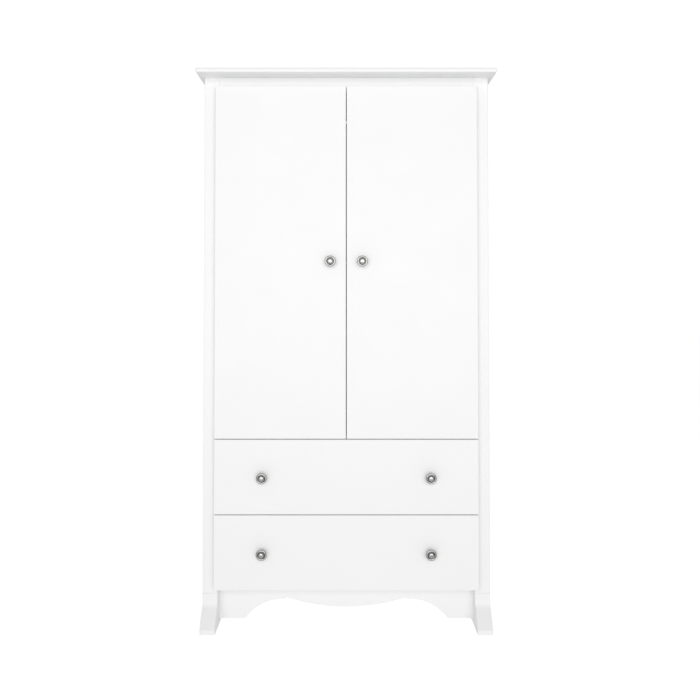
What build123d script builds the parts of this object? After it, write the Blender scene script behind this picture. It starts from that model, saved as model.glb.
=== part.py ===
from build123d import *
import math
import os

os.makedirs("parts", exist_ok=True)

# A free-standing wardrobe: two doors over two drawers, on four feet.
# Millimetres. X runs to the right, Y to the back, Z up. The origin is on the floor,
# in the middle of the overall box. The front faces -Y.

# Overall box
overall_width = 822.0            # across the top board
overall_depth = 450.0            # front edge of the top board to the nail heads on the back
overall_height = 1535.0

# Boards
top_thickness = 12.0
panel_thickness = 16.0
front_thickness = 18.0           # doors and drawer fronts
back_thickness = 3.0
edge_ease = 1.5                  # rounding of every edge that shows
top_edge_round = 3.5

# Carcass
top_side_overhang = 15.5
top_front_overhang = 35.0        # past the doors
top_reveal = 28.0                # rail that shows between the doors and the top board
post_width = 41.5
post_thickness = 18.0
top_rail_height = 40.0
drawer_rail_height = 20.0
front_reveal = 3.0               # air between a door and the posts behind it
front_overlay = 8.0              # how far doors and drawer fronts cover the posts
front_gap = 2.0                  # between neighbouring doors and drawer fronts
drawer_front_height = 203.5
bottom_lift = 2.0                # bottom panel above the lower drawer front's lower edge

# Base
foot_height = 96.0
foot_floor_length = 130.0        # a front foot, measured along the floor
rear_foot_length = 90.0
foot_proud = 1.5                 # upright face of a front foot ahead of the post above
toe_projection = 41.5            # toe ahead of that upright face
toe_height = 13.0
flare_height = 57.0              # from the toe's top to where the flare meets the upright face
flare_bend = 45.0
front_clearance = 16.0           # lower drawer front above the feet
glide_radius = 11.0
glide_thickness = 3.0
glide_stand = 1.5                # how far a glide lifts its foot
apron_thickness = 16.0
apron_setback = 52.0             # apron behind the door fronts
apron_lobe_z = 15.0              # underside of the outer lobes
apron_lobe_x = 282.0             # inner end of a lobe's flat underside
apron_cove_x = 178.0             # inner end of a cove, where it runs level
apron_cove_z = 68.0
apron_cusp_x = 170.0             # step between the cove and the belly
apron_cusp_z = 73.0
apron_belly_z = 47.0             # lowest point of the middle
skirt_inset = 3.0
skirt_end_z = 26.0
skirt_arch_z = 60.0

# Inside the door compartment
shelf_z = 800.0
shelf_clearance = 1.0
pin_radius = 2.5
pin_reach = 8.0                  # into the side panel, and out of it
pin_inset = 45.0
rail_drop = 73.0                 # rail's centre line below the top board
rail_height = 30.0
rail_width = 15.0
rail_wall = 1.2
rail_depth = 225.0               # rail's centre line behind the door fronts
socket_flange = 2.0
socket_reach = 14.0
socket_wall = 1.8
rail_clearance = 0.15

# Door hinges. U runs from a door's outer edge to its middle, V from its front to the back.
cup_radius = 17.5
cup_wall = 0.8
cup_depth = 13.0
cup_edge = 4.5                   # door edge to the cup
cup_floor = 0.6
cup_clearance = 0.05
flange_thickness = 1.0
flange_width = 26.0
flange_length = 58.0
pivot_u = 9.5
pivot_cover = 10.0               # hinge pin ahead of the door's back face
hinge_pin_radius = 1.2
pivot_clearance = 0.05
knuckle_radius = 2.1
arm_thickness = 1.8
arm_height = 10.0
arm_reach = 14.0                 # goose-neck inward of the pivot
arm_bend = 3.0
arm_set = 3.0                    # goose-neck behind the posts' front face
hinge_plate_height = 44.0
hinge_screw_pitch = 30.0
hinge_margin = 100.0             # end hinges from the ends of a door
hinge_edge_round = 4.0           # back edge of a door, on its hinge side
bumper_radius = 5.0
bumper_gap = 0.2
bumper_inset = 4.0

# Drawers
drawer_side_thickness = 12.0
drawer_box_height = 130.0
drawer_box_lift = 32.0           # box above the lower edge of its front
drawer_box_length = 350.0
drawer_bottom_thickness = 3.0
groove_depth = 5.0
groove_lift = 10.0
groove_clearance = 0.1
slide_length = 340.0
slide_space = 12.7               # between the post and the drawer box
slide_height = 45.0
slide_wall = 1.2
slide_set = 3.0                  # slides behind the posts' front face
slide_air = 0.5                  # between one member and the next
slide_spacer_height = 60.0

# Knobs and fasteners
knob_radius = 15.0
knob_projection = 25.0
knob_base_radius = 8.0
knob_base_height = 2.0
knob_neck_radius = 5.5
knob_neck_end = 8.0              # where the neck opens out, from the door
knob_rim_front = 19.0            # front end of the straight rim, from the door
knob_rim_width = 4.5
knob_rim_round = 2.5
knob_ring_radius = 8.5           # foot of the dome in the middle
knob_bore_depth = 14.0
door_knob_inset = 43.0           # from the meeting edge of a door
drawer_knob_spread = 230.0       # from the middle of a drawer
machine_screw_radius = 2.0
machine_screw_head = 4.5
machine_screw_head_height = 2.4
wood_screw_radius = 1.6
wood_screw_head = 3.6
wood_screw_head_height = 1.8
wood_screw_length = 14.0
bracket_screw_length = 11.0
screw_clearance = 0.2
nail_head_radius = 2.5
nail_head_thickness = 1.0
nail_radius = 0.8
nail_length = 20.0
nails_up = 9
nails_across = 5

# Wall brackets
bracket_width = 30.0
bracket_leg = 32.0
bracket_thickness = 2.0
bracket_hole_radius = 2.75
bracket_spread = 230.0
wall_hole_radius = 5.0

# Planes and half-widths that follow from the sizes above
top_front_y = -overall_depth / 2
face_y = top_front_y + top_front_overhang
post_y = face_y + front_thickness + front_reveal
foot_y = post_y - foot_proud
toe_y = foot_y - toe_projection
side_y = post_y + post_thickness
back_y = overall_depth / 2 - nail_head_thickness
carcass_y = back_y - back_thickness
top_z = overall_height - top_thickness
rail_z = top_z - rail_drop
pivot_v = front_thickness - pivot_cover
body_half = overall_width / 2 - top_side_overhang
inner_half = body_half - panel_thickness
post_half = body_half - post_width
front_half = post_half + front_overlay
lower_z = foot_height + front_clearance
upper_z = lower_z + drawer_front_height + front_gap
door_z = upper_z + drawer_front_height + front_gap
door_top = top_z - top_reveal
bottom_z = lower_z + bottom_lift
bottom_top = bottom_z + panel_thickness
middle_z = door_z - (front_gap + panel_thickness) / 2
middle_top = middle_z + panel_thickness
door_width = front_half - front_gap / 2
sides = (("left", -1), ("right", 1))
drawers = (("lower", lower_z), ("upper", upper_z))
hinge_zs = (door_z + hinge_margin, (door_z + door_top) / 2, door_top - hinge_margin)
ALONG = (Align.CENTER, Align.CENTER, Align.MIN)
BELOW = (Align.CENTER, Align.CENTER, Align.MAX)


def save(piece, name):
    """Label a finished piece and write it."""
    piece.part.label = name
    export_step(piece.part, f"parts/{name}.step")


def block(corner, opposite, mode=Mode.ADD):
    """A board between two opposite corners, in the piece that is being made."""
    size = [abs(b - a) for a, b in zip(corner, opposite)]
    middle = Vector(*[(a + b) / 2 for a, b in zip(corner, opposite)])
    with Locations(middle):
        Box(*size, mode=mode)


def screw(seat, head_radius, head_height, radius, length):
    """A pan-head screw whose head sits on a plane and points along its normal."""
    with Locations(seat):
        Cylinder(head_radius, head_height, align=ALONG)
        Cylinder(radius, length, align=BELOW)


def wood_screw(seat, length):
    """A wood screw of the one gauge that holds the fittings to the carcass."""
    screw(seat, wood_screw_head, wood_screw_head_height, wood_screw_radius, length)


def screw_hole(seat, thickness):
    """A clear hole for a wood screw, down through a plate from its outer face."""
    with Locations(seat):
        Cylinder(wood_screw_radius + screw_clearance, thickness, align=BELOW, mode=Mode.SUBTRACT)


def turned_knob(x, z):
    """A turned knob on the front plane, on a foot and a waisted neck, with a domed middle."""
    centre = Plane(origin=(x, face_y, z), x_dir=(1, 0, 0), z_dir=(0, 0, 1))
    rim_start = knob_rim_front - knob_rim_width
    flare_x = (knob_neck_radius + knob_radius) / 2 - 1
    flare_y = -(knob_neck_end + rim_start) / 2 - 1
    crest = knob_rim_front + knob_rim_round
    dome_height = knob_projection - knob_rim_front
    dome_radius = (knob_ring_radius ** 2 + dome_height ** 2) / (2 * dome_height)
    with BuildPart() as knob:
        with BuildSketch(centre):
            with BuildLine():
                Polyline((0, -knob_projection), (0, -knob_bore_depth),
                         (machine_screw_radius, -knob_bore_depth), (machine_screw_radius, 0),
                         (knob_base_radius, 0), (knob_base_radius, -knob_base_height),
                         (knob_neck_radius, -2 * knob_base_height), (knob_neck_radius, -knob_neck_end))
                ThreePointArc((knob_neck_radius, -knob_neck_end), (flare_x, flare_y),
                              (knob_radius, -rim_start))
                Line((knob_radius, -rim_start), (knob_radius, -knob_rim_front))
                ThreePointArc((knob_radius, -knob_rim_front),
                              (knob_radius - knob_rim_round * 0.3, -knob_rim_front - knob_rim_round * 0.7),
                              (knob_radius - knob_rim_round, -crest))
                Line((knob_radius - knob_rim_round, -crest), (knob_ring_radius, -knob_rim_front))
                RadiusArc((knob_ring_radius, -knob_rim_front), (0, -knob_projection), dome_radius)
            make_face()
        revolve(axis=Axis((x, face_y, z), (0, 1, 0)))
    return knob.part


def knob_hole(x, z):
    """The clear hole for a knob's screw, right through a door or drawer front."""
    with Locations(Plane(origin=(x, face_y, z), z_dir=(0, 1, 0))):
        Cylinder(machine_screw_radius + 0.25, front_thickness, align=ALONG, mode=Mode.SUBTRACT)


def knob_screw(x, z):
    """The machine screw that holds a knob, with its head on the inside of the front."""
    inside = Plane(origin=(x, face_y + front_thickness, z), z_dir=(0, 1, 0))
    length = front_thickness + knob_bore_depth - 2
    screw(inside, machine_screw_head, machine_screw_head_height, machine_screw_radius, length)


# Top board: one flat board that overhangs the doors and the sides.
with BuildPart() as top_board:
    block((-overall_width / 2, top_front_y, top_z),
          (overall_width / 2, overall_depth / 2, overall_height))
    fillet(top_board.edges().filter_by(Axis.Z), top_edge_round)
    fillet(top_board.faces().sort_by(Axis.Z)[-1].edges(), top_edge_round)
    fillet(top_board.faces().sort_by(Axis.Z)[0].edges(), top_edge_round)
save(top_board, "top_board")

# Side panels, from the feet to the top board, and the front posts that cover their edges.
for side, sign in sides:
    with BuildPart() as side_panel:
        block((sign * inner_half, side_y, foot_height), (sign * body_half, carcass_y, top_z))
        for hole_y in (side_y + pin_inset, carcass_y - pin_inset):
            mouth = Plane(origin=(sign * inner_half, hole_y, shelf_z - pin_radius), z_dir=(-sign, 0, 0))
            with Locations(mouth):
                Cylinder(pin_radius, pin_reach, align=BELOW, mode=Mode.SUBTRACT)
    save(side_panel, f"side_panel_{side}")

    with BuildPart() as front_post:
        block((sign * post_half, post_y, foot_height), (sign * body_half, side_y, top_z))
        fillet(front_post.faces().sort_by(Axis.Y)[0].edges().filter_by(Axis.Z), edge_ease)
    save(front_post, f"front_post_{side}")

# Rails between the posts: under the top board, and behind the gap between the drawers.
with BuildPart() as top_rail:
    block((-post_half, post_y, top_z - top_rail_height), (post_half, side_y, top_z))
save(top_rail, "top_rail")

with BuildPart() as drawer_rail:
    rail_low = upper_z - (front_gap + drawer_rail_height) / 2
    block((-post_half, post_y, rail_low), (post_half, side_y, rail_low + drawer_rail_height))
save(drawer_rail, "drawer_rail")

# Fixed panels: the floor of the drawer space and the floor of the door compartment.
# Each reaches forward between the posts.
for name, low in (("bottom_panel", bottom_z), ("middle_panel", middle_z)):
    with BuildPart() as fixed_panel:
        block((-inner_half, side_y, low), (inner_half, carcass_y, low + panel_thickness))
        block((-post_half, post_y, low), (post_half, side_y, low + panel_thickness))
    save(fixed_panel, name)

# Back panel: thin board nailed over the rear edges, with two holes for the wall screws.
bracket_z = top_z - bracket_leg * 0.6
with BuildPart() as back_panel:
    block((-body_half, carcass_y, foot_height), (body_half, back_y, top_z))
    for sign in (-1, 1):
        with Locations(Plane(origin=(sign * bracket_spread, carcass_y, bracket_z), z_dir=(0, 1, 0))):
            Cylinder(wall_hole_radius, back_thickness, align=ALONG, mode=Mode.SUBTRACT)
save(back_panel, "back_panel")

# Nails round the back panel: up both sides, and along the top, middle and bottom boards.
nail_xs = [(2 * i / (nails_across + 1) - 1) * inner_half for i in range(1, nails_across + 1)]
nail_zs = [foot_height + (i + 0.5) * (top_z - foot_height) / nails_up for i in range(nails_up)]
nail_spots = [(sign * (body_half - panel_thickness / 2), z) for sign in (-1, 1) for z in nail_zs]
nail_spots += [(x, z + panel_thickness / 2) for x in nail_xs for z in (bottom_z, middle_z)]
with BuildPart() as back_nails:
    for x, z in nail_spots:
        seat = Plane(origin=(x, back_y, z), z_dir=(0, 1, 0))
        screw(seat, nail_head_radius, nail_head_thickness, nail_radius, nail_length)
save(back_nails, "back_nails")

# Feet: sawn blocks as wide as the posts. A front foot starts upright under its post, and
# bends forward into a straight flare that ends in a low square toe.
toe_top = glide_stand + toe_height
heel_y = toe_y + foot_floor_length
front_glide_y = toe_y + foot_floor_length / 2
rear_glide_y = carcass_y - rear_foot_length / 2
for side, sign in sides:
    inner_side = Plane.YZ.offset(min(sign * post_half, sign * body_half))
    with BuildPart() as front_foot:
        with BuildSketch(inner_side):
            with BuildLine():
                Polyline((foot_y, foot_height), (heel_y, foot_height), (heel_y, glide_stand),
                         (toe_y, glide_stand), (toe_y, toe_top))
                FilletPolyline((toe_y, toe_top), (foot_y, toe_top + flare_height), (foot_y, foot_height),
                               radius=flare_bend)
            make_face()
        extrude(amount=post_width)
        fillet(front_foot.edges().filter_by(Axis.X).group_by(Axis.Y)[0], edge_ease / 2)
        with Locations((sign * (body_half - post_width / 2), front_glide_y, glide_stand)):
            Cylinder(glide_radius, glide_thickness - glide_stand, align=ALONG, mode=Mode.SUBTRACT)
    save(front_foot, f"front_foot_{side}")

    with BuildPart() as rear_foot:
        block((sign * post_half, carcass_y - rear_foot_length, glide_stand),
              (sign * body_half, carcass_y, foot_height))
        with Locations((sign * (body_half - post_width / 2), rear_glide_y, glide_stand)):
            Cylinder(glide_radius, glide_thickness - glide_stand, align=ALONG, mode=Mode.SUBTRACT)
    save(rear_foot, f"rear_foot_{side}")

    # Side skirt: an arched board between the two feet, under the side panel.
    skirt_from = heel_y
    skirt_to = carcass_y - rear_foot_length
    skirt_out = body_half - skirt_inset
    skirt_face = Plane.YZ.offset(min(sign * skirt_out, sign * (skirt_out - panel_thickness)))
    with BuildPart() as side_skirt:
        with BuildSketch(skirt_face):
            with BuildLine():
                Polyline((skirt_to, skirt_end_z), (skirt_to, foot_height), (skirt_from, foot_height),
                         (skirt_from, skirt_end_z))
                ThreePointArc((skirt_from, skirt_end_z), ((skirt_from + skirt_to) / 2, skirt_arch_z),
                              (skirt_to, skirt_end_z))
            make_face()
        extrude(amount=panel_thickness)
    save(side_skirt, f"side_skirt_{side}")

# Glides: flat plastic discs let into the feet.
with BuildPart() as foot_glides:
    for sign in (-1, 1):
        for y in (front_glide_y, rear_glide_y):
            with Locations((sign * (body_half - post_width / 2), y, 0)):
                Cylinder(glide_radius, glide_thickness, align=ALONG)
save(foot_glides, "foot_glides")

# Apron: scalloped board under the front of the bottom panel, between the feet. Two deep
# lobes beside the feet, a cove and a small step on each side, and a shallow belly between.
apron_y = face_y + apron_setback
cove_run = apron_lobe_x - apron_cove_x
cove_rise = apron_cove_z - apron_lobe_z
cove_radius = (cove_run ** 2 + cove_rise ** 2) / (2 * cove_rise)
belly_rise = apron_cusp_z - apron_belly_z
belly_radius = (apron_cusp_x ** 2 + belly_rise ** 2) / (2 * belly_rise)
with BuildPart() as apron:
    with BuildSketch(Plane.XZ.offset(-apron_y)):
        with BuildLine():
            Polyline((0, apron_belly_z), (0, bottom_z), (post_half, bottom_z),
                     (post_half, apron_lobe_z), (apron_lobe_x, apron_lobe_z))
            RadiusArc((apron_lobe_x, apron_lobe_z), (apron_cove_x, apron_cove_z), -cove_radius)
            Polyline((apron_cove_x, apron_cove_z), (apron_cusp_x, apron_cove_z),
                     (apron_cusp_x, apron_cusp_z))
            RadiusArc((apron_cusp_x, apron_cusp_z), (0, apron_belly_z), belly_radius)
        make_face()
        mirror(about=Plane.YZ)
    extrude(amount=-apron_thickness)
save(apron, "apron")

# Rear rail: a plain board between the rear feet, under the bottom panel.
with BuildPart() as rear_rail:
    block((-post_half, carcass_y - panel_thickness, skirt_end_z), (post_half, carcass_y, bottom_z))
save(rear_rail, "rear_rail")

# Adjustable shelf on four pins.
with BuildPart() as adjustable_shelf:
    block((-inner_half + shelf_clearance, side_y + 6, shelf_z),
          (inner_half - shelf_clearance, carcass_y - 6, shelf_z + panel_thickness))
    fillet(adjustable_shelf.faces().sort_by(Axis.Y)[0].edges().filter_by(Axis.X), edge_ease)
save(adjustable_shelf, "adjustable_shelf")

with BuildPart() as shelf_pins:
    for sign in (-1, 1):
        for y in (side_y + pin_inset, carcass_y - pin_inset):
            mouth = Plane(origin=(sign * inner_half, y, shelf_z - pin_radius), z_dir=(-sign, 0, 0))
            with Locations(mouth):
                Cylinder(pin_radius, pin_reach, align=ALONG)
                Cylinder(pin_radius, pin_reach, align=BELOW)
save(shelf_pins, "shelf_pins")

# Hanging rail: oval tube across the compartment, held at each end in a flanged socket.
rail_y = face_y + rail_depth
rail_half = inner_half - socket_flange
with BuildPart() as hanging_rail:
    with BuildSketch(Plane.YZ.offset(-rail_half)):
        with Locations((rail_y, rail_z)):
            SlotOverall(rail_height, rail_width, rotation=90)
            SlotOverall(rail_height - 2 * rail_wall, rail_width - 2 * rail_wall, rotation=90,
                        mode=Mode.SUBTRACT)
    extrude(amount=2 * rail_half)
save(hanging_rail, "hanging_rail")

socket_hole_height = rail_height + 2 * rail_clearance
socket_hole_width = rail_width + 2 * rail_clearance
socket_screw_z = rail_height / 2 + 10
socket_seats = [
    Plane(origin=(sign * (inner_half - socket_flange), rail_y, rail_z + offset_z), z_dir=(-sign, 0, 0))
    for side, sign in sides for offset_z in (-socket_screw_z, socket_screw_z)
]
with BuildPart() as rail_sockets:
    for sign in (-1, 1):
        wall_plane = Plane(origin=(sign * inner_half, rail_y, rail_z), x_dir=(0, 1, 0), z_dir=(-sign, 0, 0))
        with BuildSketch(wall_plane):
            SlotOverall(rail_height + 36, rail_width + 14, rotation=90)
        extrude(amount=socket_flange)
        with BuildSketch(wall_plane.offset(socket_flange)):
            SlotOverall(socket_hole_height + 2 * socket_wall, socket_hole_width + 2 * socket_wall,
                        rotation=90)
            SlotOverall(socket_hole_height, socket_hole_width, rotation=90, mode=Mode.SUBTRACT)
        extrude(amount=socket_reach)
    for seat in socket_seats:
        screw_hole(seat, socket_flange)
save(rail_sockets, "rail_sockets")

# Wall brackets: steel angles under the top board, one leg against the back panel.
bracket_seats = [
    Plane(origin=(x, carcass_y - bracket_leg * 0.6, top_z - bracket_thickness), z_dir=(0, 0, -1))
    for x in (-bracket_spread, bracket_spread)
]
with BuildPart() as wall_brackets:
    for sign in (-1, 1):
        left_x = sign * bracket_spread - bracket_width / 2
        right_x = left_x + bracket_width
        block((left_x, carcass_y - bracket_thickness, top_z - bracket_leg), (right_x, carcass_y, top_z))
        block((left_x, carcass_y - bracket_leg, top_z - bracket_thickness), (right_x, carcass_y, top_z))
        inner_face = Plane(origin=(sign * bracket_spread, carcass_y, bracket_z), z_dir=(0, 1, 0))
        with Locations(inner_face):
            Cylinder(bracket_hole_radius, bracket_thickness, align=BELOW, mode=Mode.SUBTRACT)
    for seat in bracket_seats:
        screw_hole(seat, bracket_thickness)
save(wall_brackets, "wall_brackets")

# Fixed half of the door hinges: a bent steel arm screwed to the inner edge of a post.
# It goes round the edge of the open door, and ends in a knuckle on the hinge pin.
arm_v = front_thickness + front_reveal + arm_set + arm_thickness / 2
plate_end_v = front_thickness + front_reveal + post_thickness - 1
plate_u = front_overlay + arm_thickness / 2
plate_screw_y = face_y + (arm_v + arm_bend + plate_end_v) / 2
arm_seats = [
    Plane(origin=(sign * (post_half - arm_thickness), plate_screw_y, z + offset_z), z_dir=(-sign, 0, 0))
    for side, sign in sides for z in hinge_zs
    for offset_z in (-hinge_screw_pitch / 2, hinge_screw_pitch / 2)
]
with BuildPart() as hinge_arms:
    for side, sign in sides:
        edge_x = sign * front_half
        bends = [(pivot_u, pivot_v), (pivot_u + arm_reach, pivot_v), (pivot_u + arm_reach, arm_v),
                 (plate_u, arm_v), (plate_u, plate_end_v)]
        route = [(edge_x - sign * u, face_y + v) for u, v in bends]
        pivot_at = (edge_x - sign * pivot_u, face_y + pivot_v)
        for z in hinge_zs:
            with BuildSketch(Plane.XY.offset(z - arm_height / 2)):
                with BuildLine():
                    FilletPolyline(*route, radius=arm_bend)
                trace(line_width=arm_thickness)
                with Locations(pivot_at):
                    Circle(knuckle_radius)
                    Circle(hinge_pin_radius + pivot_clearance, mode=Mode.SUBTRACT)
            extrude(amount=arm_height)
            block((edge_x - sign * front_overlay, face_y + arm_v + arm_bend, z - hinge_plate_height / 2),
                  (edge_x - sign * (front_overlay + arm_thickness), face_y + plate_end_v,
                   z + hinge_plate_height / 2))
    for seat in arm_seats:
        screw_hole(seat, arm_thickness)
save(hinge_arms, "hinge_arms")

# Wood screws in the carcass: two in each hinge arm and rail socket, one in each wall bracket.
with BuildPart() as carcass_screws:
    for seat in arm_seats + socket_seats:
        wood_screw(seat, wood_screw_length)
    for seat in bracket_seats:
        wood_screw(seat, bracket_screw_length)
save(carcass_screws, "carcass_screws")

# Doors, each with its knob, the cups and pins of its three hinges, and two soft bumpers.
for side, sign in sides:
    outer_x = sign * front_half
    meeting_x = sign * front_gap / 2
    knob_x = sign * (front_gap / 2 + door_knob_inset)
    knob_z = (door_z + door_top) / 2
    cup_x = outer_x - sign * (cup_edge + cup_radius)
    pivot_x = outer_x - sign * pivot_u
    inside_y = face_y + front_thickness

    with BuildPart() as door:
        block((outer_x, face_y, door_z), (meeting_x, inside_y, door_top))
        hinge_side = door.edges().filter_by(Axis.Z).group_by(Axis.Y)[-1].sort_by(Axis.X)
        fillet(hinge_side[0] if sign < 0 else hinge_side[-1], hinge_edge_round)
        fillet(door.faces().sort_by(Axis.Y)[0].edges(), edge_ease)
        for z in hinge_zs:
            with Locations(Plane(origin=(cup_x, inside_y, z), z_dir=(0, 1, 0))):
                Cylinder(cup_radius + cup_clearance, cup_depth, align=BELOW, mode=Mode.SUBTRACT)
        knob_hole(knob_x, knob_z)
    save(door, f"{side}_door")

    knob = turned_knob(knob_x, knob_z)
    knob.label = f"{side}_door_knob"
    export_step(knob, f"parts/{side}_door_knob.step")

    with BuildPart() as door_knob_screw:
        knob_screw(knob_x, knob_z)
    save(door_knob_screw, f"{side}_door_knob_screw")

    with BuildPart() as hinge_cups:
        for z in hinge_zs:
            back_face = Plane(origin=(cup_x, inside_y, z), x_dir=(1, 0, 0), z_dir=(0, 1, 0))
            with BuildSketch(back_face):
                RectangleRounded(flange_width, flange_length, 6)
                Circle(cup_radius)
            extrude(amount=flange_thickness)
            with Locations(back_face):
                Cylinder(cup_radius, cup_depth, align=BELOW)
            with Locations(back_face.offset(flange_thickness)):
                Cylinder(cup_radius - cup_wall, cup_depth + flange_thickness - cup_floor, align=BELOW,
                         mode=Mode.SUBTRACT)
    save(hinge_cups, f"{side}_hinge_cups")

    # The pin crosses the cup and is riveted into its wall at both ends.
    pin_offset = cup_edge + cup_radius - pivot_u + hinge_pin_radius
    pin_length = 2 * math.sqrt((cup_radius - cup_wall / 4) ** 2 - pin_offset ** 2)
    with BuildPart() as hinge_pins:
        for z in hinge_zs:
            with Locations((pivot_x, face_y + pivot_v, z)):
                Cylinder(hinge_pin_radius, pin_length)
    save(hinge_pins, f"{side}_hinge_pins")

    with BuildPart() as bumpers:
        for z in (door_z + bumper_radius + bumper_inset, door_top - bumper_radius - bumper_inset):
            spot = Plane(origin=(meeting_x + sign * 30, inside_y, z), z_dir=(0, 1, 0))
            with Locations(spot):
                Cylinder(bumper_radius, front_reveal - bumper_gap, align=ALONG)
    save(bumpers, f"{side}_door_bumpers")

# Spacers that bring the drawer slides out to the inner edge of the posts.
box_half = post_half - slide_space
slide_y = post_y + slide_set
with BuildPart() as slide_spacers:
    for side, sign in sides:
        for name, front_z in drawers:
            slide_z = front_z + drawer_box_lift + drawer_box_height / 2
            block((sign * post_half, side_y, slide_z - slide_spacer_height / 2),
                  (sign * inner_half, slide_y + slide_length, slide_z + slide_spacer_height / 2))
save(slide_spacers, "slide_spacers")


def slide_member(sign, z, open_x, web_x, height):
    """One channel of a drawer slide: a web with a flange turned in at the top and bottom."""
    y_from, y_to = slide_y, slide_y + slide_length
    web_back = web_x + math.copysign(slide_wall, open_x - web_x)
    block((sign * web_x, y_from, z - height / 2), (sign * web_back, y_to, z + height / 2))
    for edge in (-1, 1):
        block((sign * web_x, y_from, z + edge * height / 2),
              (sign * open_x, y_to, z + edge * (height / 2 - slide_wall)))


# Fixed members of all four slides, screwed to the posts and spacers.
with BuildPart() as slide_outer_members:
    for side, sign in sides:
        for name, front_z in drawers:
            slide_z = front_z + drawer_box_lift + drawer_box_height / 2
            slide_member(sign, slide_z, post_half - slide_space + 2, post_half, slide_height)
save(slide_outer_members, "slide_outer_members")

# Drawers: a box of thin boards behind a thick front, with a bottom let into grooves.
middle_height = slide_height - 2 * (slide_wall + slide_air)
inner_height = middle_height - 2 * (slide_wall + slide_air)
for name, front_z in drawers:
    front_back_y = face_y + front_thickness
    box_end_y = front_back_y + drawer_box_length
    box_low = front_z + drawer_box_lift
    box_top = box_low + drawer_box_height
    slide_z = (box_low + box_top) / 2
    groove_z = box_low + groove_lift
    knob_z = front_z + drawer_front_height / 2

    with BuildPart() as drawer_front:
        block((-front_half, face_y, front_z), (front_half, front_back_y, front_z + drawer_front_height))
        fillet(drawer_front.faces().sort_by(Axis.Y)[0].edges(), edge_ease)
        for x in (-drawer_knob_spread, drawer_knob_spread):
            knob_hole(x, knob_z)
    save(drawer_front, f"{name}_drawer_front")

    for side, sign in sides:
        inner_x = sign * (box_half - drawer_side_thickness)
        with BuildPart() as drawer_side:
            block((sign * box_half, front_back_y, box_low), (inner_x, box_end_y, box_top))
            block((inner_x, front_back_y, groove_z - groove_clearance),
                  (inner_x + sign * groove_depth, box_end_y,
                   groove_z + drawer_bottom_thickness + groove_clearance), mode=Mode.SUBTRACT)
        save(drawer_side, f"{name}_drawer_side_{side}")

    box_inner = box_half - drawer_side_thickness
    with BuildPart() as drawer_back:
        block((-box_inner, box_end_y - drawer_side_thickness, groove_z + drawer_bottom_thickness),
              (box_inner, box_end_y, box_top))
    save(drawer_back, f"{name}_drawer_back")

    with BuildPart() as drawer_bottom:
        bottom_half = box_inner + groove_depth - groove_clearance
        block((-bottom_half, front_back_y, groove_z),
              (bottom_half, box_end_y, groove_z + drawer_bottom_thickness))
    save(drawer_bottom, f"{name}_drawer_bottom")

    with BuildPart() as drawer_knobs:
        for x in (-drawer_knob_spread, drawer_knob_spread):
            add(turned_knob(x, knob_z))
    save(drawer_knobs, f"{name}_drawer_knobs")

    with BuildPart() as drawer_knob_screws:
        for x in (-drawer_knob_spread, drawer_knob_spread):
            knob_screw(x, knob_z)
    save(drawer_knob_screws, f"{name}_drawer_knob_screws")

    # Moving members of this drawer's two slides: the middle ones float between the
    # fixed channels and the inner ones, which are screwed to the drawer's sides.
    with BuildPart() as slide_middle:
        for side, sign in sides:
            slide_member(sign, slide_z, post_half - slide_space + 2, post_half - 5, middle_height)
    save(slide_middle, f"{name}_slide_middle_members")

    with BuildPart() as slide_inner:
        for side, sign in sides:
            slide_member(sign, slide_z, box_half + 6, box_half, inner_height)
    save(slide_inner, f"{name}_slide_inner_members")
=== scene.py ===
import math

import bmesh
import bpy
from mathutils import Euler, Matrix, Vector


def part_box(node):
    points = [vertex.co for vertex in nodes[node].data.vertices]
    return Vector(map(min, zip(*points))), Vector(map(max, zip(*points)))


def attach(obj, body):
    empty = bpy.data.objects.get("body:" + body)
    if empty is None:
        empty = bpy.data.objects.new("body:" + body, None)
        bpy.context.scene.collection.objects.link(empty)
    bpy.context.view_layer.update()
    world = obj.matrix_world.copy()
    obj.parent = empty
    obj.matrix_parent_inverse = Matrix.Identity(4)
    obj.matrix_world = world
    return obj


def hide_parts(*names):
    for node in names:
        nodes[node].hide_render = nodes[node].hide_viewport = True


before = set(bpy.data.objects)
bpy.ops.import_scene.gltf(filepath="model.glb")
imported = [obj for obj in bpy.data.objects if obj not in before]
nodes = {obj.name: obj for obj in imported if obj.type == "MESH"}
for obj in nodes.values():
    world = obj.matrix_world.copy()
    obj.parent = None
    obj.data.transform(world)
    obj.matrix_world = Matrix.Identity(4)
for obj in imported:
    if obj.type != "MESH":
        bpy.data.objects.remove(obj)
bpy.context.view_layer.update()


# The view: a camera at waist height, square on to the doors, turned up a little.
# The frame is shifted down so that the feet and the top board are both in the picture.
camera_data = bpy.data.cameras.new("camera")
camera_data.lens = 37.43
camera_data.sensor_width = 36.0
camera_data.shift_x = 0.0053
camera_data.shift_y = -0.1054
camera_data.clip_end = 60.0
camera = bpy.data.objects.new("camera", camera_data)
CAMERA_HEIGHT = 0.922
CAMERA_DISTANCE = 2.190
CAMERA_PITCH = math.radians(91.32)
camera.location = (0.0, -CAMERA_DISTANCE, CAMERA_HEIGHT)
camera.rotation_euler = Euler((CAMERA_PITCH, 0.0, 0.0))
bpy.context.scene.collection.objects.link(camera)
bpy.context.scene.camera = camera
bpy.context.scene.view_settings.view_transform = "Standard"


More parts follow.
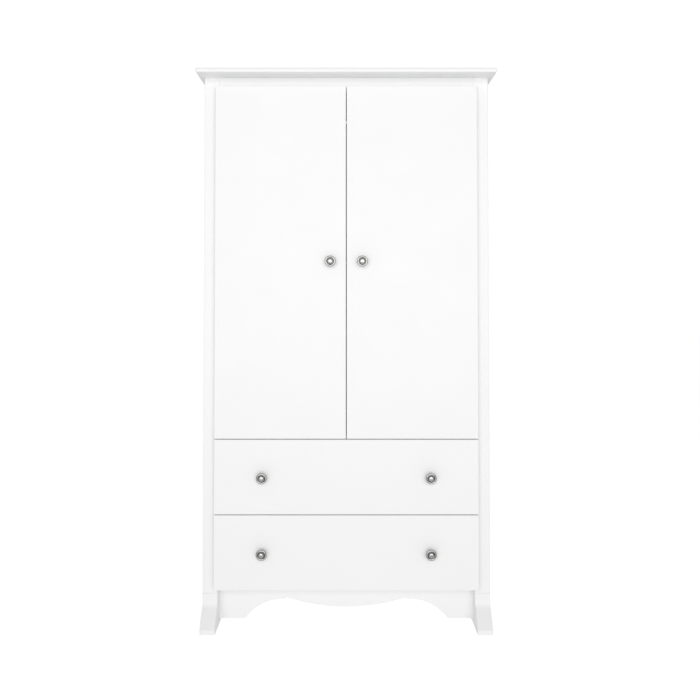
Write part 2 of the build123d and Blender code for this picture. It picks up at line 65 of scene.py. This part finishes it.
# The studio: one wide soft box in front, a little above the middle of the doors. The room and
# its floor look brighter than the light they throw, so that edges and gaps stay crisp.
def studio_light(name, place, aim, width, height, power):
    """A soft box: a rectangular lamp at a place, turned towards a point."""
    lamp_data = bpy.data.lights.new(name, "AREA")
    lamp_data.shape = "RECTANGLE"
    lamp_data.size = width
    lamp_data.size_y = height
    lamp_data.energy = power
    lamp = bpy.data.objects.new(name, lamp_data)
    lamp.location = place
    lamp.rotation_euler = (Vector(aim) - Vector(place)).to_track_quat("-Z", "Y").to_euler()
    bpy.context.scene.collection.objects.link(lamp)


def bright_to_look_at(tree, seen_level, lit_level, socket):
    """Give a light one strength where it is looked at, and another where it lights things."""
    seen = tree.nodes.new("ShaderNodeLightPath")
    brightness = tree.nodes.new("ShaderNodeMapRange")
    brightness.inputs["To Min"].default_value = lit_level
    brightness.inputs["To Max"].default_value = seen_level
    tree.links.new(seen.outputs["Is Camera Ray"], brightness.inputs["Value"])
    tree.links.new(brightness.outputs["Result"], socket)


studio_light("front_box", place=(0.0, -4.2, 1.3), aim=(0.0, 0.0, 0.8), width=4.6, height=3.0,
             power=104.0)

surround = bpy.data.worlds.new("white_surround")
surround.use_nodes = True
backdrop_light = surround.node_tree.nodes["Background"]
backdrop_light.inputs["Color"].default_value = (1.0, 1.0, 1.0, 1.0)
bright_to_look_at(surround.node_tree, seen_level=1.02, lit_level=0.43,
                  socket=backdrop_light.inputs["Strength"])
bpy.context.scene.world = surround

floor_mesh = bmesh.new()
FLOOR_REACH = 14.0
bmesh.ops.create_grid(floor_mesh, x_segments=1, y_segments=1, size=FLOOR_REACH)
floor_data = bpy.data.meshes.new("floor")
floor_mesh.to_mesh(floor_data)
floor_mesh.free()
floor = bpy.data.objects.new("floor", floor_data)
bpy.context.scene.collection.objects.link(floor)

floor_paper = bpy.data.materials.new("studio_paper")
floor_paper.use_nodes = True
paper = floor_paper.node_tree.nodes["Principled BSDF"]
paper.inputs["Base Color"].default_value = (0.30, 0.30, 0.30, 1.0)
paper.inputs["Roughness"].default_value = 0.9
paper.inputs["Specular IOR Level"].default_value = 0.0
paper.inputs["Emission Color"].default_value = (1.0, 1.0, 1.0, 1.0)
bright_to_look_at(floor_paper.node_tree, seen_level=0.87, lit_level=0.55,
                  socket=paper.inputs["Emission Strength"])
floor_data.materials.append(floor_paper)


# Outside boards: top, doors, drawer fronts, posts, side panels, feet, skirts and apron are
# fibreboard under a sprayed satin lacquer, and so are the rails and the two fixed panels
# inside. A sprayed coat drifts a little in colour and gloss, and dries with a faint
# orange-peel.
def new_finish(name):
    """A new material, with its node tree, its shader and its place on the object."""
    material = bpy.data.materials.new(name)
    material.use_nodes = True
    tree = material.node_tree
    place = tree.nodes.new("ShaderNodeTexCoord")
    return material, tree, tree.nodes["Principled BSDF"], place.outputs["Object"]


def noise(tree, place, scale, detail=2.0, stretch=(1.0, 1.0, 1.0)):
    """Noise at so many lumps to the metre, and drawn out along an axis if asked."""
    mapping = tree.nodes.new("ShaderNodeMapping")
    mapping.inputs["Scale"].default_value = stretch
    tree.links.new(place, mapping.inputs["Vector"])
    texture = tree.nodes.new("ShaderNodeTexNoise")
    texture.inputs["Scale"].default_value = scale
    texture.inputs["Detail"].default_value = detail
    tree.links.new(mapping.outputs["Vector"], texture.inputs["Vector"])
    return texture.outputs["Fac"]


def drift(tree, value, low, high, socket):
    """Spread the middle of a 0 to 1 pattern over a range, and feed it to a socket."""
    spread = tree.nodes.new("ShaderNodeMapRange")
    spread.inputs["From Min"].default_value = 0.3
    spread.inputs["From Max"].default_value = 0.7
    spread.inputs["To Min"].default_value = low
    spread.inputs["To Max"].default_value = high
    tree.links.new(value, spread.inputs["Value"])
    tree.links.new(spread.outputs["Result"], socket)


def blend_colours(tree, value, first, second):
    """Mix two colours, or a colour and another mix, by a pattern."""
    mix = tree.nodes.new("ShaderNodeMix")
    mix.data_type = "RGBA"
    tree.links.new(value, mix.inputs["Factor"])
    for socket, colour in ((mix.inputs[6], first), (mix.inputs[7], second)):
        if isinstance(colour, tuple):
            socket.default_value = (*colour, 1.0)
        else:
            tree.links.new(colour, socket)
    return mix.outputs[2]


def relief(tree, height, depth, strength, shader):
    """Raise the surface by a pattern, so many metres deep."""
    bump = tree.nodes.new("ShaderNodeBump")
    bump.inputs["Distance"].default_value = depth
    bump.inputs["Strength"].default_value = strength
    tree.links.new(height, bump.inputs["Height"])
    tree.links.new(bump.outputs["Normal"], shader.inputs["Normal"])


def dress(material, *names):
    """Give CAD nodes one finish."""
    for name in names:
        data = nodes[name].data
        data.materials.clear()
        data.materials.append(material)


lacquer, tree, shader, place = new_finish("satin_white_lacquer")
coat = blend_colours(tree, noise(tree, place, 7.0, 3.0),
                     (0.872, 0.873, 0.874), (0.892, 0.892, 0.892))
tree.links.new(coat, shader.inputs["Base Color"])
drift(tree, noise(tree, place, 18.0, 3.0), 0.34, 0.42, shader.inputs["Roughness"])
relief(tree, noise(tree, place, 420.0, 2.0), 0.00012, 0.30, shader)
shader.inputs["Specular IOR Level"].default_value = 0.42
dress(lacquer, "top_board", "top_rail", "drawer_rail", "middle_panel", "bottom_panel", "apron",
      "rear_rail", "left_door", "right_door", "upper_drawer_front", "lower_drawer_front",
      *[f"{part}_{side}" for side in ("left", "right")
        for part in ("side_panel", "front_post", "front_foot", "rear_foot", "side_skirt")])


# Foot glides: grey nylon discs, moulded with a rounded lower edge and a shallow dish, and
# pressed into a blind hole under each foot. They are turned shapes about an upright axis.
MILLIMETRE = 0.001
SAME_POINT = 1e-6


def solids(name):
    """The lowest and highest corner of each separate solid in a CAD node."""
    work = bmesh.new()
    work.from_mesh(nodes[name].data)
    bmesh.ops.remove_doubles(work, verts=work.verts, dist=SAME_POINT)
    waiting = set(work.verts)
    boxes = []
    while waiting:
        front = [waiting.pop()]
        island = []
        while front:
            vert = front.pop()
            island.append(vert.co.copy())
            for edge in vert.link_edges:
                other = edge.other_vert(vert)
                if other in waiting:
                    waiting.remove(other)
                    front.append(other)
        low = Vector([min(co[axis] for co in island) for axis in range(3)])
        high = Vector([max(co[axis] for co in island) for axis in range(3)])
        boxes.append((low, high))
    work.free()
    return sorted(boxes, key=lambda box: tuple(round(value, 4) for value in box[0]))


def seats(name, direction):
    """Where each solid of a CAD node starts, if it points in a direction: its base's centre."""
    ahead = Vector(direction)
    found = []
    for low, high in solids(name):
        reach = Vector([abs(a) * size / 2 for a, size in zip(ahead, high - low)])
        found.append(((low + high) / 2 - Vector([a * r for a, r in zip(ahead, reach)]), ahead))
    return found


def turned(profile, steps):
    """A closed turned shape from (radius, height) points in millimetres, from pole to pole."""
    work = bmesh.new()
    line = [work.verts.new((radius * MILLIMETRE, 0.0, height * MILLIMETRE))
            for radius, height in profile]
    edges = [work.edges.new(pair) for pair in zip(line, line[1:])]
    bmesh.ops.spin(work, geom=line + edges, cent=(0, 0, 0), axis=(0, 0, 1), angle=math.tau,
                   steps=steps, use_merge=True)
    bmesh.ops.remove_doubles(work, verts=work.verts, dist=SAME_POINT)
    bmesh.ops.recalc_face_normals(work, faces=work.faces)
    return work


def arc(centre, radius, start, end, steps):
    """Points on a round stretch of a profile; angles in degrees from straight out."""
    angles = [math.radians(start + (end - start) * step / steps) for step in range(steps + 1)]
    return [(centre[0] + radius * math.cos(a), centre[1] + radius * math.sin(a)) for a in angles]


def set_out(shape, spots):
    """Copy one shape to many seats, each turned so that it stands along its direction."""
    pattern = bpy.data.meshes.new("pattern")
    shape.to_mesh(pattern)
    shape.free()
    work = bmesh.new()
    for spot, direction in spots:
        copy = pattern.copy()
        turn = direction.to_track_quat("Z", "Y").to_matrix().to_4x4()
        copy.transform(Matrix.Translation(spot) @ turn)
        work.from_mesh(copy)
        bpy.data.meshes.remove(copy)
    bpy.data.meshes.remove(pattern)
    return work


SHARP_EDGE = math.radians(35.0)


def finished(name, work, material, body, slot, *replaced):
    """Make an object of a finished shape, with its finish and its body, and hide the CAD it stands
    for.
    """
    data = bpy.data.meshes.new(name)
    work.to_mesh(data)
    work.free()
    data.shade_smooth()
    data.set_sharp_from_angle(angle=SHARP_EDGE)
    data.materials.append(material)
    piece = bpy.data.objects.new(name, data)
    bpy.context.scene.collection.objects.link(piece)
    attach(piece, body)
    if replaced:
        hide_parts(*replaced)
    return piece


nylon, tree, shader, place = new_finish("moulded_grey_nylon")
drift(tree, noise(tree, place, 300.0, 3.0), 0.48, 0.62, shader.inputs["Roughness"])
shade = blend_colours(tree, noise(tree, place, 120.0),
                      (0.175, 0.176, 0.178), (0.215, 0.216, 0.218))
tree.links.new(shade, shader.inputs["Base Color"])
relief(tree, noise(tree, place, 1400.0, 2.0), 0.00005, 0.5, shader)

glide = turned([(0.0, 0.35), (6.0, 0.35), (6.6, 0.0), *arc((9.9, 1.1), 1.1, -90, 0, 4),
                (11.0, 3.0), (0.0, 3.0)], 40)
finished("foot_glide_discs", set_out(glide, seats("foot_glides", (0, 0, 1))), nylon,
         "carcass", "grey_plastic", "foot_glides")


# Inside boards: the shelf, slide spacers and drawer boxes are faced with a matt white
# foil, which keeps the fine print of the board under it.
foil, tree, shader, place = new_finish("matt_white_foil")
face = blend_colours(tree, noise(tree, place, 30.0, 4.0),
                     (0.845, 0.846, 0.843), (0.870, 0.871, 0.868))
tree.links.new(face, shader.inputs["Base Color"])
drift(tree, noise(tree, place, 60.0, 3.0), 0.50, 0.60, shader.inputs["Roughness"])
relief(tree, noise(tree, place, 900.0, 3.0), 0.00008, 0.4, shader)
shader.inputs["Specular IOR Level"].default_value = 0.35
dress(foil, "adjustable_shelf", "slide_spacers",
      *[f"{level}_drawer_{part}" for level in ("upper", "lower")
        for part in ("side_left", "side_right", "back")])


# Back panel and drawer bottoms: hardboard with a white printed face inside. The other face
# is bare brown fibre, marked by the woven screen that it was pressed on.
def hardboard(name, bare_side):
    """White-faced hardboard whose bare face points along one axis, as (axis letter, sign)."""
    material, tree, shader, place = new_finish(name)
    geometry = tree.nodes.new("ShaderNodeNewGeometry")
    facing = tree.nodes.new("ShaderNodeSeparateXYZ")
    tree.links.new(geometry.outputs["Normal"], facing.inputs["Vector"])
    letter, sign = bare_side
    bare = tree.nodes.new("ShaderNodeMath")
    bare.operation = "GREATER_THAN" if sign > 0 else "LESS_THAN"
    bare.inputs[1].default_value = 0.5 * sign
    tree.links.new(facing.outputs[letter], bare.inputs[0])

    print_coat = blend_colours(tree, noise(tree, place, 14.0, 3.0),
                               (0.835, 0.835, 0.828), (0.862, 0.862, 0.856))
    fibres = noise(tree, place, 260.0, 6.0)
    fibre = blend_colours(tree, fibres, (0.150, 0.082, 0.042), (0.300, 0.185, 0.105))
    both_faces = blend_colours(tree, bare.outputs[0], print_coat, fibre)
    tree.links.new(both_faces, shader.inputs["Base Color"])

    rough = tree.nodes.new("ShaderNodeMapRange")
    rough.inputs["To Min"].default_value = 0.42
    rough.inputs["To Max"].default_value = 0.78
    tree.links.new(bare.outputs[0], rough.inputs["Value"])
    tree.links.new(rough.outputs["Result"], shader.inputs["Roughness"])

    weave = []
    for direction in ("X", "Z" if letter == "Y" else "Y"):
        wires = tree.nodes.new("ShaderNodeTexWave")
        wires.bands_direction = direction
        wires.inputs["Scale"].default_value = 220.0
        wires.inputs["Distortion"].default_value = 1.2
        wires.inputs["Detail Scale"].default_value = 30.0
        tree.links.new(place, wires.inputs["Vector"])
        weave.append(wires.outputs["Fac"])
    screen = tree.nodes.new("ShaderNodeMath")
    screen.operation = "MULTIPLY"
    tree.links.new(weave[0], screen.inputs[0])
    tree.links.new(weave[1], screen.inputs[1])
    pressed = tree.nodes.new("ShaderNodeMath")
    pressed.operation = "MULTIPLY"
    tree.links.new(screen.outputs[0], pressed.inputs[0])
    tree.links.new(bare.outputs[0], pressed.inputs[1])
    relief(tree, pressed.outputs[0], 0.0003, 0.8, shader)
    shader.inputs["Specular IOR Level"].default_value = 0.3
    return material


dress(hardboard("back_hardboard", ("Y", 1)), "back_panel")
dress(hardboard("drawer_hardboard", ("Z", -1)), "upper_drawer_bottom", "lower_drawer_bottom")


# Nails, shelf pins and wood screws: drawn steel wire with a thin blue zinc plate. The nails
# are headed, pointed and driven through the back panel. The pins stand in holes in the sides.
zinc, tree, shader, place = new_finish("blue_zinc_plate")
wash = blend_colours(tree, noise(tree, place, 500.0, 3.0),
                     (0.50, 0.52, 0.55), (0.63, 0.64, 0.65))
tree.links.new(wash, shader.inputs["Base Color"])
drift(tree, noise(tree, place, 900.0, 3.0), 0.26, 0.40, shader.inputs["Roughness"])
relief(tree, noise(tree, place, 2500.0, 2.0), 0.00003, 0.5, shader)
shader.inputs["Metallic"].default_value = 1.0

nail = turned([(0.0, -20.0), (0.8, -18.4), (0.8, 0.0), (2.2, 0.0), (2.5, 0.25), (2.4, 0.65),
               (1.5, 0.92), (0.0, 1.0)], 12)
NAIL_HEAD = 1.0 * MILLIMETRE
nail_spots = [(Vector((spot.x, high.y - NAIL_HEAD, spot.z)), direction)
              for (spot, direction), (low, high)
              in zip(seats("back_nails", (0, 1, 0)), solids("back_nails"))]
finished("panel_nails", set_out(nail, nail_spots), zinc, "carcass", "zinc_hardware", "back_nails")

pin = turned([(0.0, 0.0), (2.0, 0.0), (2.5, 0.5), (2.5, 7.2), (2.25, 7.5), (2.25, 7.9), (2.5, 8.2),
              (2.5, 15.4), (1.9, 16.0), (0.0, 16.0)], 24)
finished("turned_shelf_pins", set_out(pin, seats("shelf_pins", (1, 0, 0))), zinc, "carcass",
         "zinc_hardware", "shelf_pins")


RECESS_WIDTH = 0.56     # half the recess's square, as a share of the head's radius
FLAT_WIDTH = 0.74       # flat top of the head, as a share of its radius


def cross_screw(head_radius, head_height, shank_radius, length):
    """A pan-head screw with a cross recess, in millimetres, its seat at the origin."""
    work = bmesh.new()
    half = RECESS_WIDTH * head_radius * MILLIMETRE
    top = head_height * MILLIMETRE
    bmesh.ops.create_grid(work, x_segments=3, y_segments=3, size=half,
                          matrix=Matrix.Translation((0.0, 0.0, top)))
    for vert in work.verts:
        for axis in (0, 1):
            if abs(vert.co[axis]) < half * 0.5:
                vert.co[axis] *= 0.66
    slots = [face for face in work.faces
             if min(abs(face.calc_center_median()[axis]) for axis in (0, 1)) < SAME_POINT]
    sunk = bmesh.ops.extrude_face_region(work, geom=slots)["geom"]
    bmesh.ops.delete(work, geom=slots, context="FACES_ONLY")
    sunk_verts = [item for item in sunk if isinstance(item, bmesh.types.BMVert)]
    bmesh.ops.scale(work, verts=sunk_verts, vec=(0.62, 0.62, 1.0))
    bmesh.ops.translate(work, verts=sunk_verts, vec=(0.0, 0.0, -0.62 * top))
    mouth = [edge for edge in work.edges if edge.is_boundary]
    bmesh.ops.create_circle(work, cap_ends=False, segments=12,
                            radius=FLAT_WIDTH * head_radius * MILLIMETRE,
                            matrix=Matrix.Translation((0.0, 0.0, top)))
    ring = [edge for edge in work.edges if edge.is_wire]
    bmesh.ops.bridge_loops(work, edges=mouth + ring)
    radius = FLAT_WIDTH * head_radius
    height = head_height
    steps = [(0.93 * head_radius, 0.78 * head_height), (head_radius, 0.35 * head_height),
             (head_radius, 0.0), (shank_radius, 0.0),
             (shank_radius, -length + 2.5 * shank_radius), (0.15 * shank_radius, -length)]
    for next_radius, next_height in steps:
        grown = bmesh.ops.extrude_edge_only(work, edges=ring)["geom"]
        ring = [item for item in grown if isinstance(item, bmesh.types.BMEdge)]
        verts = [item for item in grown if isinstance(item, bmesh.types.BMVert)]
        scale = next_radius / radius
        bmesh.ops.scale(work, verts=verts, vec=(scale, scale, 1.0))
        bmesh.ops.translate(work, verts=verts, vec=(0.0, 0.0, (next_height - height) * MILLIMETRE))
        radius, height = next_radius, next_height
    bmesh.ops.contextual_create(work, geom=ring)
    bmesh.ops.recalc_face_normals(work, faces=work.faces)
    return work


def screw_spots(name, head_height, headings):
    """Seats of a CAD node's screws: just under each head, whose end the heading points to."""
    spots = []
    for low, high in solids(name):
        size = high - low
        along = max(range(3), key=lambda axis: size[axis])
        middle = (low + high) / 2
        heading = headings[along](middle)
        reach = heading * (size[along] / 2 - head_height * MILLIMETRE)
        spot = middle + Vector([reach if axis == along else 0.0 for axis in range(3)])
        spots.append((spot, Vector([heading if axis == along else 0.0 for axis in range(3)])))
    return spots


WOOD_SCREW_HEAD = 1.8
carcass_spots = screw_spots("carcass_screws", WOOD_SCREW_HEAD,
                            {0: lambda at: -math.copysign(1.0, at.x), 2: lambda at: -1.0})
wood_screw = cross_screw(3.6, WOOD_SCREW_HEAD, 1.6, 11.0)
finished("carcass_wood_screws", set_out(wood_screw, carcass_spots), zinc,
         "carcass", "zinc_hardware", "carcass_screws")


# Hanging rail: an oval steel tube, bright chromed, in two flanged die-cast sockets. The
# tube is rolled from strip, so it has a wall and open ends.
chrome, tree, shader, place = new_finish("bright_chrome")
shader.inputs["Base Color"].default_value = (0.78, 0.785, 0.79, 1.0)
shader.inputs["Metallic"].default_value = 1.0
drift(tree, noise(tree, place, 40.0, 4.0, (0.15, 1.0, 1.0)), 0.07, 0.14, shader.inputs["Roughness"])
relief(tree, noise(tree, place, 260.0, 2.0, (0.05, 1.0, 1.0)), 0.00003, 0.4, shader)
dress(chrome, "rail_sockets")

rail_low, rail_high = (Vector(corner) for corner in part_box("hanging_rail"))
rail_middle = (rail_low + rail_high) / 2
rail_width = rail_high.y - rail_low.y
rail_wall = 1.2 * MILLIMETRE
ROUND = 40
tube = bmesh.new()
bmesh.ops.create_circle(tube, cap_ends=False, radius=rail_width / 2, segments=ROUND,
                        matrix=Matrix.Rotation(math.pi / ROUND, 4, "Z"))
bmesh.ops.rotate(tube, verts=tube.verts, matrix=Matrix.Rotation(math.pi / 2, 3, "X"))
bmesh.ops.rotate(tube, verts=tube.verts, matrix=Matrix.Rotation(math.pi / 2, 3, "Z"))
straight = (rail_high.z - rail_low.z - rail_width) / 2
for half in (1.0, -1.0):
    bmesh.ops.translate(tube, verts=[vert for vert in tube.verts if vert.co.z * half > 0],
                        vec=(0.0, 0.0, half * straight))
bmesh.ops.translate(tube, verts=tube.verts, vec=(rail_low.x, rail_middle.y, rail_middle.z))
drawn = bmesh.ops.extrude_edge_only(tube, edges=tube.edges)["geom"]
bmesh.ops.translate(tube, verts=[item for item in drawn if isinstance(item, bmesh.types.BMVert)],
                    vec=(rail_high.x - rail_low.x, 0.0, 0.0))
bmesh.ops.recalc_face_normals(tube, faces=tube.faces)
if sum(face.normal.dot(face.calc_center_median() - rail_middle) for face in tube.faces) < 0:
    bmesh.ops.reverse_faces(tube, faces=tube.faces)
bmesh.ops.solidify(tube, geom=tube.faces[:] + tube.edges[:] + tube.verts[:], thickness=rail_wall)
bmesh.ops.recalc_face_normals(tube, faces=tube.faces)
finished("oval_rail_tube", tube, chrome, "carcass", "chrome_rail", "hanging_rail")


# Door hinges: pressed steel cups and bent arms, nickel plated and barrelled bright, on
# riveted pins. Soft clear bumpers keep each door off the rails behind it.
nickel_plate, tree, shader, place = new_finish("bright_nickel_plate")
bloom = blend_colours(tree, noise(tree, place, 180.0, 3.0),
                      (0.56, 0.545, 0.52), (0.66, 0.645, 0.62))
tree.links.new(bloom, shader.inputs["Base Color"])
shader.inputs["Metallic"].default_value = 1.0
drift(tree, noise(tree, place, 350.0, 4.0), 0.20, 0.33, shader.inputs["Roughness"])
relief(tree, noise(tree, place, 1200.0, 3.0), 0.00004, 0.5, shader)
dress(nickel_plate, "hinge_arms", "left_hinge_cups", "right_hinge_cups",
      "left_hinge_pins", "right_hinge_pins")

gel, tree, shader, place = new_finish("clear_soft_gel")
shader.inputs["Base Color"].default_value = (0.90, 0.92, 0.92, 1.0)
shader.inputs["Transmission Weight"].default_value = 0.55
shader.inputs["IOR"].default_value = 1.49
drift(tree, noise(tree, place, 400.0), 0.18, 0.30, shader.inputs["Roughness"])
for side in ("left", "right"):
    dome = turned([(0.0, 0.0), (4.6, 0.0), *arc((4.4, 0.6), 0.6, -60, 0, 2),
                   *arc((2.4, 0.2), 2.6, 15, 90, 6), (0.0, 2.8)], 32)
    bumper_seats = seats(f"{side}_door_bumpers", (0, 1, 0))
    finished(f"{side}_door_bumper_domes", set_out(dome, bumper_seats), gel,
             f"{side}_door", "clear_bumper", f"{side}_door_bumpers")


# Drawer slides: three nested channels each side, roll-formed from zinc-plated strip, so
# every channel has rounded bends. The wall brackets are bent from the same strip.
strip_zinc, tree, shader, place = new_finish("zinc_plated_strip")
spangle = blend_colours(tree, noise(tree, place, 90.0, 4.0, (1.0, 0.12, 1.0)),
                        (0.50, 0.52, 0.54), (0.62, 0.635, 0.65))
tree.links.new(spangle, shader.inputs["Base Color"])
shader.inputs["Metallic"].default_value = 1.0
drift(tree, noise(tree, place, 260.0, 4.0, (1.0, 0.1, 1.0)), 0.27, 0.40, shader.inputs["Roughness"])
relief(tree, noise(tree, place, 700.0, 3.0, (1.0, 0.06, 1.0)), 0.00004, 0.5, shader)
dress(strip_zinc, "wall_brackets")


STRIP_WALL = 1.2 * MILLIMETRE


def channels(node, web_outside, bend):
    """Roll-formed channels in place of a node's plain ones: web, bends and two flanges."""
    work = bmesh.new()
    for low, high in solids(node):
        sign = math.copysign(1.0, low.x + high.x)
        outer, inner = (high.x, low.x) if sign > 0 else (low.x, high.x)
        web, mouth = (outer, inner) if web_outside else (inner, outer)
        strip = bmesh.new()
        corners = [(mouth, low.z), (web, low.z), (web, high.z), (mouth, high.z)]
        line = [strip.verts.new((x, low.y, z)) for x, z in corners]
        edges = [strip.edges.new(pair) for pair in zip(line, line[1:])]
        rolled = bmesh.ops.extrude_edge_only(strip, edges=edges)["geom"]
        far_end = [item for item in rolled if isinstance(item, bmesh.types.BMVert)]
        bmesh.ops.translate(strip, verts=far_end, vec=(0.0, high.y - low.y, 0.0))
        bends = [edge for edge in strip.edges
                 if len(edge.link_faces) == 2 and abs(edge.verts[0].co.x - web) < SAME_POINT]
        bmesh.ops.bevel(strip, geom=bends, affect="EDGES", offset=bend * MILLIMETRE, segments=5,
                        profile=0.5, material=-1)
        bmesh.ops.recalc_face_normals(strip, faces=strip.faces)
        middle = Vector(((web + mouth) / 2, (low.y + high.y) / 2, (low.z + high.z) / 2))
        if sum(face.normal.dot(face.calc_center_median() - middle) for face in strip.faces) < 0:
            bmesh.ops.reverse_faces(strip, faces=strip.faces)
        bmesh.ops.solidify(strip, geom=strip.faces[:] + strip.edges[:] + strip.verts[:],
                           thickness=STRIP_WALL)
        bmesh.ops.recalc_face_normals(strip, faces=strip.faces)
        part = bpy.data.meshes.new("strip")
        strip.to_mesh(part)
        strip.free()
        work.from_mesh(part)
        bpy.data.meshes.remove(part)
    return work


finished("fixed_slide_channels", channels("slide_outer_members", True, 3.2), strip_zinc,
         "carcass", "slide_steel", "slide_outer_members")
for level in ("lower", "upper"):
    middle_strips = channels(f"{level}_slide_middle_members", True, 2.6)
    finished(f"{level}_middle_channels", middle_strips, strip_zinc,
             f"{level}_slide_middle", "slide_steel", f"{level}_slide_middle_members")
    inner_strips = channels(f"{level}_slide_inner_members", False, 2.0)
    finished(f"{level}_inner_channels", inner_strips, strip_zinc,
             f"{level}_drawer", "slide_steel", f"{level}_slide_inner_members")


# Knobs: turned from brass bar and plated in satin nickel. A round foot, a waisted neck and
# a wide head, whose front has a raised ring, a deep groove and a dome.
satin_nickel, tree, shader, place = new_finish("satin_nickel")
lathe = tree.nodes.new("ShaderNodeAttribute")
lathe.attribute_name = "lathe"
grooves = tree.nodes.new("ShaderNodeTexNoise")
grooves.noise_dimensions = "1D"
grooves.inputs["Scale"].default_value = 9.0
grooves.inputs["Detail"].default_value = 3.0
tree.links.new(lathe.outputs["Fac"], grooves.inputs["W"])
tone = blend_colours(tree, noise(tree, place, 260.0, 3.0),
                     (0.40, 0.396, 0.388), (0.46, 0.456, 0.447))
tree.links.new(tone, shader.inputs["Base Color"])
shader.inputs["Metallic"].default_value = 1.0
drift(tree, grooves.outputs["Fac"], 0.16, 0.30, shader.inputs["Roughness"])
relief(tree, grooves.outputs["Fac"], 0.00005, 0.5, shader)

neck = [(0.0, 0.0), *arc((7.3, 0.7), 0.7, -90, 90, 4), (6.2, 2.1),
        *arc((8.2, 5.3), 2.9, 220, 165, 4), (5.6, 8.6), (6.6, 11.0), (8.2, 12.7)]
head = [(10.2, 13.8), *arc((12.6, 16.6), 2.4, -70, 0, 5), *arc((11.9, 18.0), 3.1, 0, 170, 14)]
groove = [(8.5, 17.7), (8.2, 17.4), (7.95, 17.6)]
dome = [*arc((4.23, 20.78), 3.7, -5, 76, 7), *arc((0.0, 3.8), 21.2, 76, 90, 5)[1:]]
knob_profile = neck + head + groove + dome
KNOB_STEPS = 72


def knob():
    """One knob, with each point's run along the profile kept for the turning marks."""
    work = turned(knob_profile, KNOB_STEPS)
    run = work.verts.layers.float.new("lathe")
    lengths = [0.0]
    for first, second in zip(knob_profile, knob_profile[1:]):
        lengths.append(lengths[-1] + math.dist(first, second))
    for vert in work.verts:
        own = (math.hypot(vert.co.x, vert.co.y) / MILLIMETRE, vert.co.z / MILLIMETRE)
        nearest = min(range(len(knob_profile)),
                      key=lambda index: math.dist(own, knob_profile[index]))
        vert[run] = lengths[nearest]
    return work


for body, node in (("left_door", "left_door_knob"), ("right_door", "right_door_knob"),
                   ("lower_drawer", "lower_drawer_knobs"),
                   ("upper_drawer", "upper_drawer_knobs")):
    finished(node.replace("knob", "turned_knob"), set_out(knob(), seats(node, (0, -1, 0))),
             satin_nickel, body, "satin_nickel", node)

MACHINE_SCREW_HEAD = 2.4
for body, node in (("left_door", "left_door_knob_screw"),
                   ("right_door", "right_door_knob_screw"),
                   ("lower_drawer", "lower_drawer_knob_screws"),
                   ("upper_drawer", "upper_drawer_knob_screws")):
    spots = screw_spots(node, MACHINE_SCREW_HEAD, {1: lambda at: 1.0})
    machine_screw = cross_screw(4.5, MACHINE_SCREW_HEAD, 2.0, 29.5)
    finished(node.replace("knob_", "machine_"), set_out(machine_screw, spots), zinc,
             body, "zinc_hardware", node)
